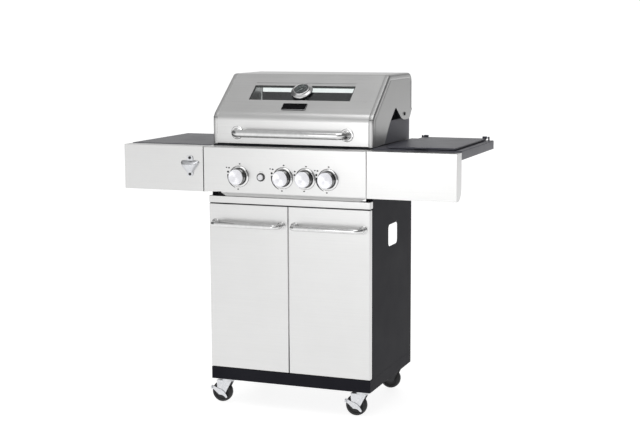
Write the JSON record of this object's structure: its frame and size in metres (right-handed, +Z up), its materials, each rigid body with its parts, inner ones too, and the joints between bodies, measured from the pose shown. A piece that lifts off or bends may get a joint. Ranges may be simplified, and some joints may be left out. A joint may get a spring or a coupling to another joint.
{
  "type": "gas barbecue grill",
  "caption": "Free-standing gas barbecue on a two-door cabinet cart with side shelves, a covered side burner, and a hinged lid with a window, thermometer and bar handle.",
  "frame": {"origin": "on the floor under the middle of the whole grill, folded as it stands", "axes": "+Z up; the cook stands at -Y; +X to the cook's right"},
  "size_m": [1.222, 0.55, 1.1762],
  "materials": {
    "stainless": "brushed stainless sheet",
    "polished_tube": "polished",
    "silver_knob": "silver metallic, satin",
    "black_steel": "black powder coat, fine texture",
    "shelf_paint": "dark grey powder coat, semi-gloss",
    "housing_paint": "dark grey heat-proof paint, satin",
    "enamel": "black porcelain enamel",
    "cast_iron": "matt enamelled cast iron",
    "burner_steel": "plain steel tube and wire",
    "brass": "machined",
    "zinc": "bright zinc plate",
    "dark_zinc": "black",
    "black_bolt": "black oxide",
    "wheel_rubber": "black moulded tread",
    "glass": "tempered, slightly green",
    "badge_black": "black plate, bright edge, blank",
    "button_plastic": "light silver",
    "module_plastic": "black"
  },
  "bodies": {
    "cart": {"base_tray": "black_steel", "bottle_opener": "zinc", "caster_plates": "black_steel", "control_panel": "stainless", "cooking_grates": "cast_iron", "door_catches": "zinc", "firebox": "enamel", "flame_tamers": "enamel", "front_rail": "stainless", "gas_manifold": "brass", "gas_valves": "brass", "hinge_pins": "zinc", "ignition_module": "module_plastic", "knob_bezels": "polished_tube", "lid_hinge_bolts": "black_bolt", "main_burners": "burner_steel", "pot_trivet": "cast_iron", "rear_housing": "housing_paint", "rear_rail": "black_steel", "screws": "black_bolt", "shelf_front_left": "stainless", "shelf_front_right": "stainless", "shelf_left": "shelf_paint", "shelf_right": "shelf_paint", "side_burner": "brass", "side_panel_left": "black_steel", "side_panel_right": "black_steel", "warming_rack": "burner_steel"},
    "door_l": {"door_left": "stainless", "door_handle_left": "polished_tube"},
    "door_r": {"door_right": "stainless", "door_handle_right": "polished_tube"},
    "lid": {"lid_skin": "stainless", "lid_side_left": "stainless", "lid_side_right": "stainless", "window_glass": "glass", "thermometer": "polished_tube", "badge_plate": "badge_black", "lid_handle": "polished_tube"},
    "burner_cover": {"side_burner_cover": "shelf_paint"},
    "drip_tray": {"grease_tray": "burner_steel"},
    "igniter": {"igniter_button": "button_plastic"},
    "stem_1": {"valve_stem_1": "zinc"},
    "knob_1": {"knob_1": "silver_knob"},
    "stem_2": {"valve_stem_2": "zinc"},
    "knob_2": {"knob_2": "silver_knob"},
    "stem_3": {"valve_stem_3": "zinc"},
    "knob_3": {"knob_3": "silver_knob"},
    "stem_4": {"valve_stem_4": "zinc"},
    "knob_4": {"knob_4": "silver_knob"},
    "swivel_1": {"caster_fork_1": "zinc"},
    "wheel_1": {"caster_wheel_1": "wheel_rubber"},
    "brake_1": {"brake_lever_1": "zinc"},
    "swivel_2": {"caster_fork_2": "zinc"},
    "wheel_2": {"caster_wheel_2": "wheel_rubber"},
    "brake_2": {"brake_lever_2": "zinc"},
    "swivel_3": {"caster_fork_3": "dark_zinc"},
    "wheel_3": {"caster_wheel_3": "wheel_rubber"},
    "swivel_4": {"caster_fork_4": "dark_zinc"},
    "wheel_4": {"caster_wheel_4": "wheel_rubber"}
  },
  "joints": [
    {"name": "lid_hinge", "type": "hinge", "parent": "cart", "child": "lid", "pos_m": [0, 0.183, 1.031], "axis": [-1, 0, 0], "range_deg": [0, 88]},
    {"name": "left_door_hinge", "type": "hinge", "parent": "cart", "child": "door_l", "pos_m": [-0.292, -0.187, 0.43], "axis": [0, 0, -1], "range_deg": [0, 110]},
    {"name": "right_door_hinge", "type": "hinge", "parent": "cart", "child": "door_r", "pos_m": [0.292, -0.187, 0.43], "axis": [0, 0, 1], "range_deg": [0, 110]},
    {"name": "burner_cover_hinge", "type": "hinge", "parent": "cart", "child": "burner_cover", "pos_m": [0.47, 0.246, 0.947], "axis": [-1, 0, 0], "range_deg": [0, 100]},
    {"name": "grease_tray_slide", "type": "slide", "parent": "cart", "child": "drip_tray", "axis": [0, 1, 0], "range_m": [0, 0.35]},
    {"name": "igniter_press", "type": "slide", "parent": "cart", "child": "igniter", "axis": [0, 1, 0], "range_m": [0, 0.004], "stiffness_N_per_m": 600},
    {"name": "valve_turn_1", "type": "hinge", "parent": "cart", "child": "stem_1", "pos_m": [-0.164, -0.24, 0.832], "axis": [0, 1, 0], "range_deg": [-220, 0]},
    {"name": "knob_push_1", "type": "slide", "parent": "stem_1", "child": "knob_1", "axis": [0, 1, 0], "range_m": [0, 0.004], "stiffness_N_per_m": 800},
    {"name": "valve_turn_2", "type": "hinge", "parent": "cart", "child": "stem_2", "pos_m": [0, -0.24, 0.832], "axis": [0, 1, 0], "range_deg": [-220, 0]},
    {"name": "knob_push_2", "type": "slide", "parent": "stem_2", "child": "knob_2", "axis": [0, 1, 0], "range_m": [0, 0.004], "stiffness_N_per_m": 800},
    {"name": "valve_turn_3", "type": "hinge", "parent": "cart", "child": "stem_3", "pos_m": [0.082, -0.24, 0.832], "axis": [0, 1, 0], "range_deg": [-220, 0]},
    {"name": "knob_push_3", "type": "slide", "parent": "stem_3", "child": "knob_3", "axis": [0, 1, 0], "range_m": [0, 0.004], "stiffness_N_per_m": 800},
    {"name": "valve_turn_4", "type": "hinge", "parent": "cart", "child": "stem_4", "pos_m": [0.164, -0.24, 0.832], "axis": [0, 1, 0], "range_deg": [-220, 0]},
    {"name": "knob_push_4", "type": "slide", "parent": "stem_4", "child": "knob_4", "axis": [0, 1, 0], "range_m": [0, 0.004], "stiffness_N_per_m": 800},
    {"name": "caster_swivel_1", "type": "hinge", "parent": "cart", "child": "swivel_1", "pos_m": [-0.257, -0.157, 0.085], "axis": [0, 0, 1], "continuous": true},
    {"name": "wheel_spin_1", "type": "hinge", "parent": "swivel_1", "child": "wheel_1", "pos_m": [-0.278, -0.157, 0.0375], "axis": [0, 1, 0], "continuous": true},
    {"name": "brake_rock_1", "type": "hinge", "parent": "swivel_1", "child": "brake_1", "pos_m": [-0.278, -0.175, 0.0375], "axis": [0, 1, 0], "range_deg": [-12, 0]},
    {"name": "caster_swivel_2", "type": "hinge", "parent": "cart", "child": "swivel_2", "pos_m": [0.257, -0.157, 0.085], "axis": [0, 0, 1], "continuous": true},
    {"name": "wheel_spin_2", "type": "hinge", "parent": "swivel_2", "child": "wheel_2", "pos_m": [0.236, -0.157, 0.0375], "axis": [0, 1, 0], "continuous": true},
    {"name": "brake_rock_2", "type": "hinge", "parent": "swivel_2", "child": "brake_2", "pos_m": [0.236, -0.175, 0.0375], "axis": [0, 1, 0], "range_deg": [-12, 0]},
    {"name": "caster_swivel_3", "type": "hinge", "parent": "cart", "child": "swivel_3", "pos_m": [-0.257, 0.225, 0.085], "axis": [0, 0, 1], "continuous": true},
    {"name": "wheel_spin_3", "type": "hinge", "parent": "swivel_3", "child": "wheel_3", "pos_m": [-0.278, 0.225, 0.0375], "axis": [0, 1, 0], "continuous": true},
    {"name": "caster_swivel_4", "type": "hinge", "parent": "cart", "child": "swivel_4", "pos_m": [0.257, 0.225, 0.085], "axis": [0, 0, 1], "continuous": true},
    {"name": "wheel_spin_4", "type": "hinge", "parent": "swivel_4", "child": "wheel_4", "pos_m": [0.236, 0.225, 0.0375], "axis": [0, 1, 0], "continuous": true}
  ]
}
